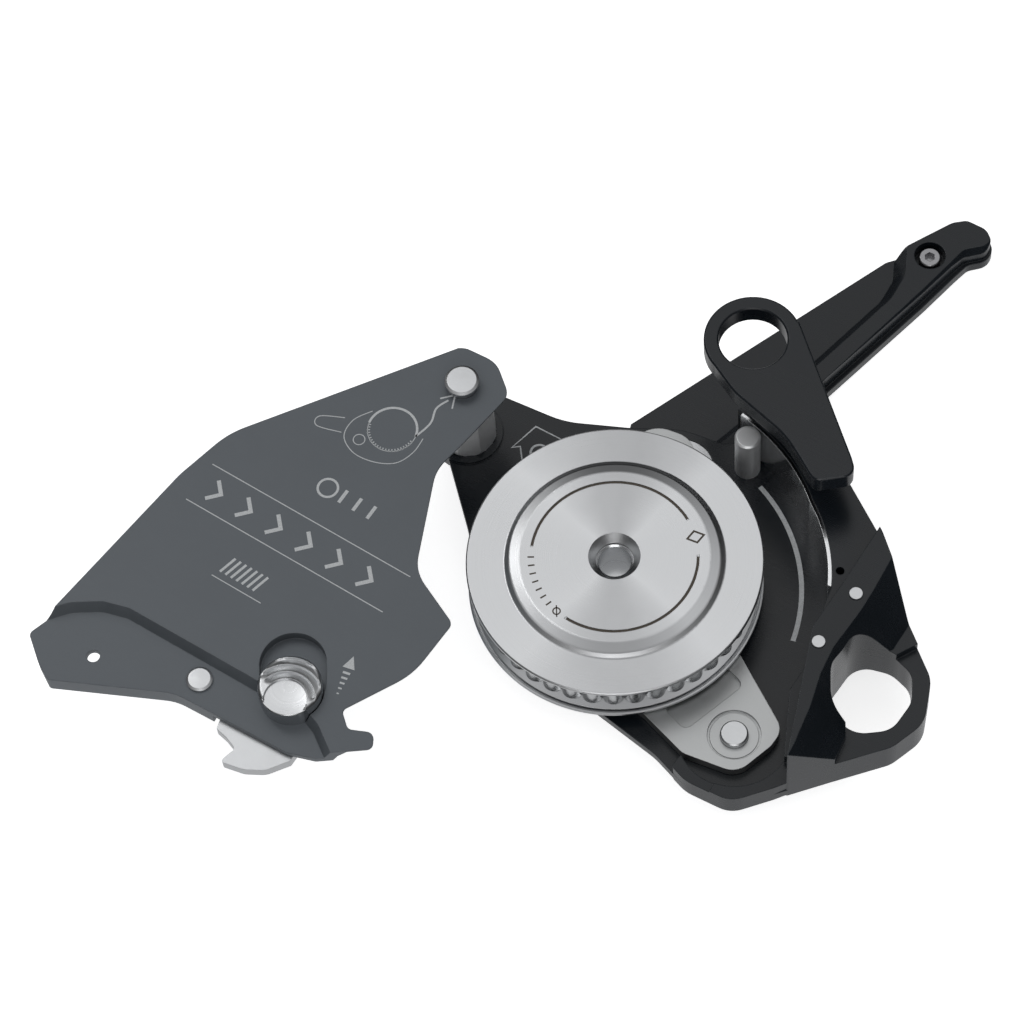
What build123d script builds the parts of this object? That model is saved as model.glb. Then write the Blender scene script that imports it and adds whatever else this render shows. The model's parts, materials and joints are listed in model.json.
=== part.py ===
from build123d import *
import math
import os

os.makedirs("parts", exist_ok=True)

# Rope clutch: a braking rope sheave in a one-piece housing with an anchor eye, a swing-open
# front plate and a control handle.  Millimetres.  The origin is the anchor eye axis on the
# back face of the housing, +Z runs out of the front, +X from the sheave to the anchor eye.

# ---- heights of the layers, from the back face
FLOOR_Z = 4.0
CARRIER_Z0, CARRIER_Z1 = 4.3, 8.0
RIM_Z0, RIM_Z1 = 8.6, 24.0
DOME_Z = 26.2
LEDGE_Z = 24.0
BAND_Z = 30.0
EYE_Z = 16.0
LOW_Z0, LOW_Z1 = 24.2, 30.2          # latch side of the front plate, with its lip
MAIN_Z0, MAIN_Z1 = 33.2, 36.2        # main skin of the front plate
SKIN_T = 2.0                         # skin thickness over the latch
ARM_Z0, ARM_Z1 = 36.7, 43.4          # becket arm, over the closed front plate
ARM_BREAK = 0.5                      # its edges
HANDLE_Z0, HANDLE_Z1 = -10.6, -0.8
WEB_Z = -7.0                         # web of the handle, below its rail

# ---- centres
SHEAVE = (-86.0, 0.0)
HINGE = (-152.8, 27.1)
CARRIER_PIVOT = (-31.0, -28.6)
HANDLE_PIVOT = (-88.0, 46.0)
BECKET = (-78.8, 77.4)
LATCH_PIVOT = (-175.0, -94.4)
BUTTON = (-148.0, -86.2)
LATCH_TURN = 18.0                    # degrees the thumb button moves round the latch rivet
STEM_BACK = 5.0                      # degrees its stem sits behind it, so the cap hides the slot
WALL_CENTRE = (-86.6, 0.9)            # the brake wall runs in two arcs, ending at WALL_END_Y
LOWER_WALL_CENTRE = (-75.6, 0.9)
WALL_END_Y = 21.4
ROPE_POST = (-69.5, 55.8)
KEEPERS = [(-15.3, 20.1), (-18.1, 0.8)]
HANDLE_SCREW = (-53.8, 153.7)

# ---- radii
SHEAVE_R = 45.0
LOBES = 40
LOBE_ORBIT = 39.4
LOBE_R = 3.4
WALL_R = 61.7
LOWER_WALL_R = 54.4
INSERT_T = 1.1
INSERT_TO = 79.0
ROPE_POST_R = 4.0
KEEPER_R = 2.0
BECKET_R = 10.5
BECKET_RING_R = 15.0
HUB_R = 13.5
RACE_R = 16.05
ROLLERS = 8
ROLLER_R = 2.0
ROLLER_ORBIT = 14.0
AXLE_R = 7.5
SLEEVE_R = 6.2
BUSH_OUTER = 20.0
PIVOT_R = 4.2
BUSH_R = 5.6
BUSH_FLANGE_R = 7.4
HINGE_PIN_R = 3.5
PLATE_BORE_R = 4.55
LATCH_PIN_R = 2.5
BUTTON_R = 9.7
STEM_R = 2.5
BOLT_R = 3.0
RUN = 0.05                           # radial running clearance

# ---- the latch hook and the slot it enters in the band
HOOK_REACH = 141.6
SLOT_Z = 28.4
LATCH_ARM_Z = 26.5

# ---- the eccentric on the handle shaft that swings the sheave carrier
CAM_THROW = 5.10
CAM_PIN_R = 2.6
CAM_SLOT_GAP = 0.28
HANDLE_SWING = 80.0


def save(shape, name):
    export_step(shape, "parts/" + name + ".step")


def rounded(corners):
    """Face through corners given as (x, y, corner radius)."""
    count = len(corners)
    entry = []
    leave = []
    edges = []
    for i in range(count):
        x, y, radius = corners[i]
        here = Vector(x, y)
        back = (Vector(*corners[i - 1][:2]) - here).normalized()
        ahead = (Vector(*corners[(i + 1) % count][:2]) - here).normalized()
        if radius == 0:
            entry.append(here)
            leave.append(here)
            continue
        half = math.radians(back.get_angle(ahead)) / 2
        reach = radius / math.tan(half)
        start = here + back * reach
        end = here + ahead * reach
        middle = (back + ahead).normalized()
        crown = here + middle * (radius / math.sin(half) - radius)
        edges.append(ThreePointArc(start, crown, end).edge())
        entry.append(start)
        leave.append(end)
    for i in range(count):
        start = leave[i]
        end = entry[(i + 1) % count]
        if (end - start).length > 1e-4:
            edges.append(Line(start, end).edge())
    return make_face(edges)


def prism(corners, z0, z1):
    return extrude(Pos(0, 0, z0) * rounded(corners), z1 - z0)


def edge_broken(corners, z0, z1, size):
    """Prism whose top edge is broken at 45 degrees."""
    face = rounded(corners)
    top = extrude(Pos(0, 0, z1 - size) * face, size, taper=45)
    return extrude(Pos(0, 0, z0) * face, z1 - size - z0) + top


def rolled(face, z0, steps):
    """Solid on face that closes in by (height, lean in degrees) steps, the lowest first."""
    face = Pos(0, 0, z0) * face
    body = None
    for height, lean in steps:
        layer = extrude(face, height, taper=lean)
        face = layer.faces().sort_by(Axis.Z)[-1]
        body = body + layer if body else layer
    return body


def disc(centre, radius, z0, z1):
    place = Pos(centre[0], centre[1], (z0 + z1) / 2)
    return place * Cylinder(radius, z1 - z0)


def ring(centre, outer, inner, z0, z1):
    return disc(centre, outer, z0, z1) - disc(centre, inner, z0 - 1, z1 + 1)


def turned(profile, centre):
    """Solid turned about Z at centre from (radius, z) points."""
    line = Polyline(*[(r, 0, z) for r, z in profile], close=True)
    solid = revolve(make_face(line), Axis.Z)
    return Pos(centre[0], centre[1], 0) * solid


def polar(centre, radius, degrees):
    angle = math.radians(degrees)
    return (centre[0] + radius * math.cos(angle), centre[1] + radius * math.sin(angle))


def sector(centre, radius, start, end):
    """Pie slice wide enough to trim a ring between two angles."""
    points = [centre, polar(centre, radius * 2, start)]
    middle = (start + end) / 2
    points.append(polar(centre, radius * 2, middle))
    points.append(polar(centre, radius * 2, end))
    return [(x, y, 0) for x, y in points]


def edges_at(solid, z):
    """Edges lying in the plane z."""
    found = []
    for edge in solid.edges():
        bound = edge.bounding_box()
        if abs(bound.min.Z - z) < 1e-3 and abs(bound.max.Z - z) < 1e-3:
            found.append(edge)
    return found


# =====================================================================================
# Housing
# =====================================================================================

FLOOR_OUTLINE = [
    (18.4, -1.5, 10), (13.4, -12.8, 9), (0, -26.2, 0), (-12.5, -39, 10), (-22, -48.8, 9),
    (-37, -48.8, 12), (-50, -43.6, 20), (-73, -38.6, 6), (-88, -41.2, 30), (-112, -33, 20),
    (-137, -2, 12), (-166, 29.5, 10), (-160, 43.4, 10), (-128, 44.4, 30), (-108, 52, 30),
    (-94, 58.7, 25), (-79, 60, 6), (-70, 70, 8), (-58, 78.6, 6), (-34.7, 55.4, 0),
    (-17.6, 42.6, 10), (-0.3, 25.2, 20), (14, 12.4, 10),
]

EYE_HOLE = [(-12.1, -3.3, 7.5), (-7.5, -12, 7.5), (1.9, -14, 8.5), (10.8, -8, 7.5),
            (12.1, 2.8, 7.5), (8.3, 11.3, 6.6), (0.5, 14, 8.5), (-10.3, 11.8, 7.5)]


def brake_bore(extra):
    """Plan of the space inside the two arcs of the brake wall, grown by extra."""
    upper = Pos(WALL_CENTRE[0], WALL_CENTRE[1]) * Circle(WALL_R + extra)
    lower = Pos(LOWER_WALL_CENTRE[0], LOWER_WALL_CENTRE[1]) * Circle(LOWER_WALL_R + extra)
    above = rounded([(-60, WALL_END_Y, 0), (0, WALL_END_Y, 0), (0, 70, 0), (-60, 70, 0)])
    return upper + (lower & above)


def wall_top_region():
    """Plan of the raised side of the housing: brake wall, ledge and band."""
    face = rounded([
        (-79, 68, 0), (-58, 78.6, 0), (-34.7, 55.4, 0), (-17.2, 43.2, 10), (0, 26, 0),
        (6, 20, 0), (-2, 8, 0), (-6, -20, 0), (-7.6, -33.2, 0), (-9.9, -36.1, 0),
        (-22, 5, 6), (-23.8, WALL_END_Y, 0), (-45, WALL_END_Y, 0), (-75, 40, 0),
    ])
    return face - brake_bore(INSERT_T)


def band_slope():
    """Solid above the eye plane whose +X side leans back from across the eye to the band."""
    foot = [
        (-120, 110), (-120, -80), (1.4, -80), (0.7, -24), (0, -17), (-4, -9), (-4.6, 9),
        (0.2, 14.6), (0.8, 24), (1.2, 110),
    ]
    crest = [
        (-120, 110), (-120, -80), (-9.8, -80), (-10.2, -32), (-11.4, -19), (-13.4, -8),
        (-13.8, 1), (-12.1, 16), (-11.7, 25), (-11.7, 110),
    ]
    low = make_face(Polyline(*[(x, y, EYE_Z) for x, y in foot], close=True))
    high = make_face(Polyline(*[(x, y, BAND_Z) for x, y in crest], close=True))
    return loft([low, high], ruled=True)


def arm_column():
    """Column that carries the becket arm past the edge of the closed front plate."""
    return [
        (-77.5, 67.5, 3), (-68, 64.6, 0), (-59.3, 63, 3), (-48.5, 57.4, 2), (-43.4, 52.4, 2),
        (-40.6, 54.2, 1), (-41.8, 62.2, 2), (-50.5, 70.6, 0), (-64, 84, 6),
    ]


def becket_arm():
    """Arm with the becket eye, from its cut-off foot to the round ring."""
    foot = edge_broken([
        (-88.5, 65.8, 3), (-75.5, 58.2, 20), (-55, 51.9, 30), (-40.3, 41.7, 3.5),
        (-29.9, 49.3, 3.5), (-34, 54.2, 3), (-69, 89.2, 0), (-80, 88, 0), (-90.8, 71, 0),
    ], ARM_Z0, ARM_Z1, ARM_BREAK)
    eye = turned([(BECKET_R, ARM_Z0), (BECKET_RING_R, ARM_Z0), (BECKET_RING_R, ARM_Z1 - ARM_BREAK),
                  (BECKET_RING_R - ARM_BREAK, ARM_Z1), (BECKET_R + ARM_BREAK, ARM_Z1),
                  (BECKET_R, ARM_Z1 - ARM_BREAK)], BECKET)
    clear = turned([(0, ARM_Z0 - 1), (BECKET_R, ARM_Z0 - 1), (BECKET_R, ARM_Z1 - ARM_BREAK),
                    (BECKET_R + ARM_BREAK, ARM_Z1), (BECKET_R + ARM_BREAK, ARM_Z1 + 2),
                    (0, ARM_Z1 + 2)], BECKET)
    return foot - clear + eye


def lower_lobe():
    """Rounded corner below the anchor eye, cut round the carrier pivot, with a lower shelf."""
    high = rounded([
        (5.2, -18.1, 0), (-12.5, -39, 10), (-22, -48.8, 9), (-37, -48.8, 12), (-48, -44.4, 0),
        (-46, -18, 0), (-18, -8, 0),
    ])
    high = rolled(high, 0, [(EYE_Z - 7.2, 0), (3.2, 15), (2.4, 38), (1.6, 62)])
    high = high & prism([(-29, -60, 0), (20, -60, 0), (20, -34, 0), (-12, -16, 0),
                         (-29, -16, 0)], 0, 30)
    low = rounded([
        (-22, -48.8, 0), (-37, -48.8, 12), (-42.9, -46.4, 1.5), (-41.2, -37.4, 2),
        (-36, -36.9, 3), (-22, -36, 0),
    ])
    low = rolled(low, 0, [(8.2, 0), (2.4, 20), (2.0, 50)])
    low = low & prism([(-60, -60, 0), (-28.5, -60, 0), (-28.5, -20, 0), (-60, -20, 0)], 0, 30)
    lobe = high + low - disc(CARRIER_PIVOT, 11.0, FLOOR_Z, 40)
    lobe = lobe - disc(CARRIER_PIVOT, 17.2, FLOOR_Z, CARRIER_Z1 + 1.0)
    return lobe - disc((-13.2, -31.8), 1.0, EYE_Z - 5, EYE_Z + 1)


def hinge_seat():
    return disc(HINGE, 11.0, 0, FLOOR_Z + 1.0)


def housing():
    body = prism(FLOOR_OUTLINE, 0, FLOOR_Z)
    body = chamfer(edges_at(body, 0), 0.8)
    plan = wall_top_region()
    outline = edge_broken(FLOOR_OUTLINE, 0, BAND_Z, 0.5)
    wall = extrude(plan, LEDGE_Z)
    band_plan = rounded([
        (-18.9, 44.4, 0), (-20.4, 22, 0), (-22, 5, 8), (-9.9, -36.1, 0), (1, -30, 0),
        (0, -17, 0), (-4, -9, 0), (-4.6, 9, 0), (0.2, 14.6, 0), (1, 44, 0),
    ])
    band = extrude(band_plan, BAND_Z)
    eye = prism([(-22, -10, 0), (-13.6, -30.2, 0), (2, -25.4, 0), (40, -60, 0), (40, 60, 0),
                 (-17, 60, 0)], 0, EYE_Z)
    shell = rolled(rounded(FLOOR_OUTLINE), 0, [(EYE_Z - 3.2, 0), (1.8, 20), (0.9, 45), (0.5, 66)])
    high = (wall + band) & outline & (band_slope() + prism(
        [(-120, -80, 0), (40, -80, 0), (40, 120, 0), (-120, 120, 0)], 0, EYE_Z))
    body = body + (eye & shell) + high + lower_lobe() + hinge_seat()
    body = body + prism(arm_column(), 0, ARM_Z0) + becket_arm()
    body = body - prism(EYE_HOLE, -1, 40)
    # the hook slot in the side of the band, and the keeper pins flush in its top
    reach = ring(HINGE, HOOK_REACH, HOOK_REACH - 20, LEDGE_Z, SLOT_Z)
    path = prism([(-40, -20, 0), (-5, -20, 0), (-5, 26, 0), (-12.4, 26, 0), (-13.6, 36, 3),
                  (-21, 45, 0), (-40, 45, 0)], LEDGE_Z, SLOT_Z)
    body = body - (reach & path)
    for centre in KEEPERS:
        body = body - disc(centre, KEEPER_R, 26, 40)
    # drillings: ledge hole, carrier pivot, handle journal, hinge post and rope post
    body = body - disc((-24.0, 27.4), 1.3, 14, 40)
    body = body - disc(CARRIER_PIVOT, PIVOT_R, -1, 30)
    body = body - disc(HANDLE_PIVOT, 8.0 + RUN, -1, 10)
    body = body - disc(HANDLE_PIVOT, 10.5 + RUN, 2.4, 10)
    body = body - disc(HINGE, HINGE_PIN_R, -1, 10)
    body = body - disc(ROPE_POST, ROPE_POST_R, 1.5, LEDGE_Z + 1)
    return body


def brake_insert():
    band = Pos(0, 0, FLOOR_Z) * (brake_bore(INSERT_T) - brake_bore(0))
    ends = prism(sector(WALL_CENTRE, WALL_R, 0, INSERT_TO), 0, 30)
    ends = ends & prism([(-140, WALL_END_Y, 0), (0, WALL_END_Y, 0), (0, 80, 0), (-140, 80, 0)], 0, 30)
    return extrude(band, LEDGE_Z - FLOOR_Z) & ends


def rope_post():
    post = disc(ROPE_POST, ROPE_POST_R, 1.5, LEDGE_Z)
    return chamfer(post.edges().sort_by(Axis.Z)[-1], 0.6)


def keeper_pin(centre):
    return disc(centre, KEEPER_R, SLOT_Z, BAND_Z)


# =====================================================================================
# Sheave carrier
# =====================================================================================

SLOT_ANGLE = math.degrees(math.atan2(HANDLE_PIVOT[1] - CARRIER_PIVOT[1],
                                     HANDLE_PIVOT[0] - CARRIER_PIVOT[0]))
SLOT_RADIUS = math.dist(HANDLE_PIVOT, CARRIER_PIVOT)


def cam_pin_centre():
    """Eccentric pin with the handle parked, half a swing before its middle position."""
    return polar(HANDLE_PIVOT, CAM_THROW, SLOT_ANGLE + HANDLE_SWING / 2)


def carrier_plate():
    plate = prism([
        (-18.8, -20.6, 6), (-19.6, -27, 6), (-24.6, -39.4, 7), (-42, -41, 6),
        (-58, -35, 6), (-100, -26, 22), (-106, 12, 20), (-104, 54, 9), (-88, 55.5, 8),
        (-68, 20, 24), (-41, -4.6, 8),
    ], CARRIER_Z0, CARRIER_Z1)
    panel = prism([(-48, -8, 3), (-35.8, -12.6, 2.5), (-44.6, -34, 2.5), (-54, -30.6, 3)], 7.0, 9)
    plate = plate - panel
    first = polar(CARRIER_PIVOT, SLOT_RADIUS + CAM_THROW * 0.76 - 0.6, SLOT_ANGLE + 2.0)
    last = polar(CARRIER_PIVOT, SLOT_RADIUS + CAM_THROW + 0.6, SLOT_ANGLE + 2.0)
    width = CAM_PIN_R + CAM_SLOT_GAP
    for centre in (first, last):
        plate = plate - disc(centre, width, 3, 9)
    middle = ((first[0] + last[0]) / 2, (first[1] + last[1]) / 2)
    bar = Box(math.dist(first, last), 2 * width, 6)
    plate = plate - Pos(middle[0], middle[1], 6) * Rot(0, 0, SLOT_ANGLE + 2.0) * bar
    plate = plate - disc(CARRIER_PIVOT, BUSH_R, 0, 20)
    plate = plate - disc(CARRIER_PIVOT, BUSH_FLANGE_R, 6.0, 20)
    plate = plate - disc(CARRIER_PIVOT, BUSH_FLANGE_R + 0.7, 7.0, 20)
    plate = plate - disc(SHEAVE, AXLE_R, 0, 20)
    return plate


def carrier_bush():
    sleeve = ring(CARRIER_PIVOT, BUSH_R, PIVOT_R + RUN, CARRIER_Z0, 6.0)
    return sleeve + ring(CARRIER_PIVOT, BUSH_FLANGE_R, PIVOT_R + RUN, 6.0, 7.2)


def carrier_pivot_pin():
    return turned([(0, 0), (PIVOT_R, 0), (PIVOT_R, 8.8), (PIVOT_R - 0.4, 9.2), (0, 9.2)],
                  CARRIER_PIVOT)


def clutch_hub():
    hub = ring(SHEAVE, HUB_R, AXLE_R, CARRIER_Z1, 20.4)
    for i in range(ROLLERS):
        centre = polar(SHEAVE, ROLLER_ORBIT, i * 360 / ROLLERS)
        hub = hub - disc(centre, ROLLER_R, 12.0, 18.6)
    return hub


def clutch_roller(i):
    return disc(polar(SHEAVE, ROLLER_ORBIT, i * 360 / ROLLERS), ROLLER_R, 12.0, 18.6)


def sheave_axle():
    return disc(SHEAVE, AXLE_R, CARRIER_Z0, 20.4) - disc(SHEAVE, SLEEVE_R, 13.6, 21)


def axle_sleeve():
    """Flanged sleeve pressed into the axle, holding the hub down."""
    return turned([(5.0, 13.6), (SLEEVE_R, 13.6), (SLEEVE_R, 20.4), (9.4, 20.4), (9.4, 22.5),
                   (9.0, 22.9), (5.6, 22.9), (5.0, 22.3)], SHEAVE)


# =====================================================================================
# Sheave
# =====================================================================================

def clutch_race():
    return ring(SHEAVE, BUSH_OUTER, RACE_R, 11.6, 19.0)


def sheave_bush(z0, z1):
    return ring(SHEAVE, BUSH_OUTER, HUB_R + RUN, z0, z1)


def sheave_tread():
    """Tread whose edge is a row of round lobes that grip the rope."""
    body = ring(SHEAVE, LOBE_ORBIT, BUSH_OUTER, 12.2, 20.6)
    lobes = []
    for i in range(LOBES):
        lobes.append(disc(polar(SHEAVE, LOBE_ORBIT, i * 360 / LOBES), LOBE_R, 12.2, 20.6))
    return body + lobes


def sheave_rear_flange():
    """Rear flange, with a fine groove just inside its rim."""
    return turned([(BUSH_OUTER, RIM_Z0), (44.4, RIM_Z0), (SHEAVE_R, 9.1), (SHEAVE_R, 9.9),
                   (44.4, 10.2), (44.2, 9.5), (43.8, 9.5), (43.6, 10.6),
                   (40.5, 12.2), (BUSH_OUTER, 12.2)], SHEAVE)


def sheave_front_flange():
    flange = turned([
        (7.9, DOME_Z), (5.7, DOME_Z - 2.6), (5.7, 23.2), (24, 23.2), (26, 20.6),
        (40.5, 20.6), (SHEAVE_R, 22.9), (SHEAVE_R, 23.6), (44.6, RIM_Z1), (33.4, RIM_Z1),
        (31.9, 25.3), (28.8, DOME_Z),
    ], SHEAVE)
    for radius, rounding in ((33.4, 0.7), (31.9, 1.6), (28.8, 2.4)):
        bends = [edge for edge in flange.edges().filter_by(GeomType.CIRCLE)
                 if abs(edge.radius - radius) < 0.01]
        flange = fillet(bends, rounding)
    # engraved ring, broken by two gaps
    groove = ring(SHEAVE, 25.6, 24.8, DOME_Z - 0.3, DOME_Z + 1)
    for start, end in ((28, 56), (200, 262)):
        groove = groove - prism(sector(SHEAVE, 30, start, end), 20, 30)
    return flange - groove


# =====================================================================================
# Front plate and its latch, drawn swung open 90 degrees
# =====================================================================================

PLATE_OUTLINE = [
    (-162.8, 37.0, 2.5), (-158.5, 39.4, 6), (-147.5, 39.2, 9), (-138.6, 30.8, 5),
    (-142.9, 10, 14), (-145.9, -2, 14), (-134.6, -35, 14), (-116.2, -45.2, 2.5),
    (-118.6, -65, 24), (-131.4, -84.8, 1.8), (-126.8, -89.4, 2), (-119.4, -86.8, 2.4),
    (-117.2, -91.6, 2), (-131.6, -100.8, 3), (-140, -102.9, 10), (-179.5, -101.6, 16),
    (-215.6, -115.2, 1.5), (-221.4, -111.2, 2), (-228.6, -104.6, 2), (-225.4, -97, 20),
    (-214.6, -39, 30), (-208.6, -20, 28), (-165.2, 32.6, 6),
]

JOGGLE = [(-236, -109), (-227.2, -99.8), (-220.5, -93), (-212.5, -88.5), (-204.5, -86.9),
          (-161.3, -89.8), (-142, -91.4), (-136.4, -93.8), (-126.5, -101.8)]
JOGGLE_LEAN = 30.0


def joggle_path(shift, radius):
    return [(x, y + shift, radius) for x, y in JOGGLE]


def turned_window(centre, radius, z0, z1):
    """Window swept by a disc at centre as it moves round the latch rivet."""
    reach = math.dist(centre, LATCH_PIVOT)
    start = math.degrees(math.atan2(centre[1] - LATCH_PIVOT[1], centre[0] - LATCH_PIVOT[0]))
    far = polar(LATCH_PIVOT, reach, start + LATCH_TURN)
    band = ring(LATCH_PIVOT, reach + radius, reach - radius, z0, z1)
    slot = band & prism(sector(LATCH_PIVOT, reach + radius, start, start + LATCH_TURN), z0, z1)
    return slot + disc(centre, radius, z0, z1) + disc(far, radius, z0, z1)


def stem_centre():
    reach = math.dist(BUTTON, LATCH_PIVOT)
    start = math.degrees(math.atan2(BUTTON[1] - LATCH_PIVOT[1], BUTTON[0] - LATCH_PIVOT[0]))
    return polar(LATCH_PIVOT, reach, start - STEM_BACK)


def left_edge_roll():
    """Block whose upper -X edge is bevelled along the left side of the plate."""
    return edge_broken([
        (-139.7, 63.5, 0), (-60, 63.5, 0), (-60, -140, 0), (-243.5, -140, 0), (-225.4, -97, 20),
        (-214.6, -39, 30), (-208.6, -20, 28),
    ], LOW_Z0 - 1, MAIN_Z1, 2.4)


def front_plate():
    block = extrude(Pos(0, 0, LOW_Z0) * rounded(PLATE_OUTLINE), MAIN_Z1 - LOW_Z0)
    block = block & left_edge_roll()
    rise = MAIN_Z1 - LOW_Z1
    above = joggle_path(0, 0)[:1] + joggle_path(0, 7)[1:-1] + joggle_path(0, 0)[-1:]
    above = above + [(-100, -130, 0), (-250, -130, 0)]
    step = extrude(Pos(0, 0, LOW_Z1) * rounded(above), rise + 1, taper=-JOGGLE_LEAN)
    plate = block - step
    below = joggle_path(3, 0)[:1] + joggle_path(3, 5)[1:-1] + joggle_path(3, 0)[-1:]
    below = below + [(-80, -95, 0), (-80, 70, 0), (-250, 70, 0)]
    skin_z = LOW_Z1 - SKIN_T
    lift = MAIN_Z0 - skin_z
    hollow = extrude(Pos(0, 0, skin_z) * rounded(below), lift, taper=JOGGLE_LEAN)
    hollow = hollow + prism(below, LOW_Z0 - 1, skin_z)
    pocket_wall = turned_window(BUTTON, BUTTON_R + 0.3 + 2.0, skin_z + 0.2, MAIN_Z0 + 1)
    plate = plate - (hollow - pocket_wall)
    # room for the latch behind the low skin, leaving a lip along the bottom edge
    latch_room = [
        (-232, -96, 0), (-226.4, -103.1, 2), (-220, -108.9, 2), (-215.2, -112.3, 2),
        (-179.5, -99.0, 16), (-166.2, -99.4, 0), (-166.2, -112, 0), (-112, -112, 0),
        (-112, -70, 0), (-232, -70, 0),
    ]
    plate = plate - prism(latch_room, LOW_Z0 - 1, skin_z)
    plate = plate - turned_window(BUTTON, BUTTON_R + 0.3, LOW_Z1, MAIN_Z1 + 1)
    plate = plate - turned_window(stem_centre(), STEM_R + 0.3, LOW_Z0, LOW_Z1 + 1)
    plate = plate - disc((-207.4, -102.2), 2.0, LOW_Z0 - 1, MAIN_Z1)
    plate = plate - disc(HINGE, PLATE_BORE_R, LOW_Z0, MAIN_Z1 + 1)
    plate = plate - disc(LATCH_PIVOT, LATCH_PIN_R, LOW_Z0, MAIN_Z1)
    return plate


def hinge_post():
    post = extrude(Pos(HINGE[0], HINGE[1], FLOOR_Z + 1.0) * Rot(0, 0, 10) * RegularPolygon(9.4, 8),
                   MAIN_Z0 - 0.1 - FLOOR_Z - 1.0)
    post = post & turned([(0, 0), (8.8, 5), (9.6, 8), (9.6, 30.6), (8.6, 33.1), (0, 33.1)], HINGE)
    return post - disc(HINGE, HINGE_PIN_R, 0, 40)


def hinge_rivet():
    return turned([(0, 0), (HINGE_PIN_R, 0), (HINGE_PIN_R, MAIN_Z0 - 0.1), (4.5, MAIN_Z0 - 0.1),
                   (4.5, MAIN_Z1 + 0.1), (5.3, MAIN_Z1 + 0.1), (5.3, 37.2), (4.5, 37.8),
                   (0, 37.9)], HINGE)


def latch_hook():
    """Lever on the latch rivet: a thick hook and a thinner arm under the thumb button."""
    z0 = LOW_Z0 + 0.2
    z1 = LOW_Z1 - SKIN_T - 0.2
    hook = [
        (-138.2, -98.8, 2), (-138.6, -104, 0.8), (-143.6, -110, 6), (-149.4, -112.7, 6),
        (-157.0, -113.7, 0.8), (-155.0, -108.0, 1.2), (-159.2, -106.1, 3), (-163.2, -105, 0.5),
        (-164.4, -98.8, 3), (-179.2, -98.4, 4),
    ]
    arm = [(-179.2, -89.2, 5), (-166, -86.6, 6), (-151.5, -78.4, 7), (-141.2, -82, 7),
           (-141.6, -92.6, 5)]
    thick = [(-179.2, -90.4, 4), (-169, -90, 4), (-152, -97, 3)]
    lever = prism(hook + arm, LATCH_ARM_Z, z1) + prism(hook + thick, z0, LATCH_ARM_Z)
    lever = lever - disc(LATCH_PIVOT, LATCH_PIN_R + RUN, 20, 30)
    return lever - disc(stem_centre(), STEM_R, 20, 30)


def latch_rivet():
    return turned([(0, 23.5), (4.0, 23.5), (4.0, LOW_Z0 + 0.1), (LATCH_PIN_R, LOW_Z0 + 0.1),
                   (LATCH_PIN_R, LOW_Z1),
                   (4.0, LOW_Z1), (4.0, LOW_Z1 + 0.7), (3.3, LOW_Z1 + 1.2),
                   (0, LOW_Z1 + 1.3)], LATCH_PIVOT)


def thumb_button():
    cap = turned([(0, LOW_Z1 + 0.2), (8.9, LOW_Z1 + 0.2), (BUTTON_R, LOW_Z1 + 1.0),
                  (BUTTON_R, 36.9), (9.0, 37.8), (0, 38.2)], BUTTON)
    stem = disc(stem_centre(), STEM_R, LATCH_ARM_Z, LOW_Z1 + 0.3)
    button = cap + stem
    # thumb dish in the lower half and three curved grip grooves above it
    grip = (BUTTON[0] + 1.2, BUTTON[1] - 4.6)
    button = button - disc(grip, 6.4, 37.0, 40)
    for radius in (8.0, 10.4, 12.8):
        groove = ring(grip, radius + 0.55, radius - 0.55, 37.1, 40)
        fan = prism(sector(grip, 16, 28, 158), 30, 45)
        button = button - (groove & fan & disc(BUTTON, BUTTON_R - 0.9, 30, 45))
    return button


# =====================================================================================
# Control handle, on the back
# =====================================================================================

HANDLE_OUTLINE = [
    (-112, 58.4, 0), (-66.6, 148.4, 3), (-63, 152, 3), (-61.4, 156, 8), (-53.4, 169, 8),
    (-48.5, 172.4, 6), (-42.2, 171.9, 6), (-38, 168.5, 5), (-38, 163.4, 5), (-42.8, 159.3, 4),
    (-44.6, 153.6, 10), (-48.6, 139.2, 0), (-61.8, 97.1, 0), (-66, 70, 0), (-70, 30, 0),
    (-104, 28, 0),
]

RAIL_TOP = [
    (-88, 46, 0), (-67.9, 100.9, 0), (-57.8, 133.7, 14), (-57.6, 143.5, 8), (-61.8, 153.6, 2),
    (-52.6, 168.2, 6), (-48.9, 170.9, 3), (-42.2, 170.6, 4), (-38.9, 167.4, 2),
    (-40.1, 164.8, 2), (-45.2, 160.6, 4), (-50.3, 141.7, 30), (-63.8, 96.6, 0), (-76, 48, 0),
]

RAIL_LIMIT = [
    (-100, 46, 0), (-76, 110, 0), (-66, 146, 0), (-62.6, 153.4, 2), (-61, 156.3, 6),
    (-53.1, 168.2, 7), (-48.4, 171.6, 5), (-42.3, 171.1, 5), (-38.8, 168.2, 3.5),
    (-38.8, 164, 3.5), (-44.2, 159.4, 4), (-46.2, 153.6, 10), (-50.1, 140, 0),
    (-63.4, 97.6, 0), (-75, 46, 0),
]


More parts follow.
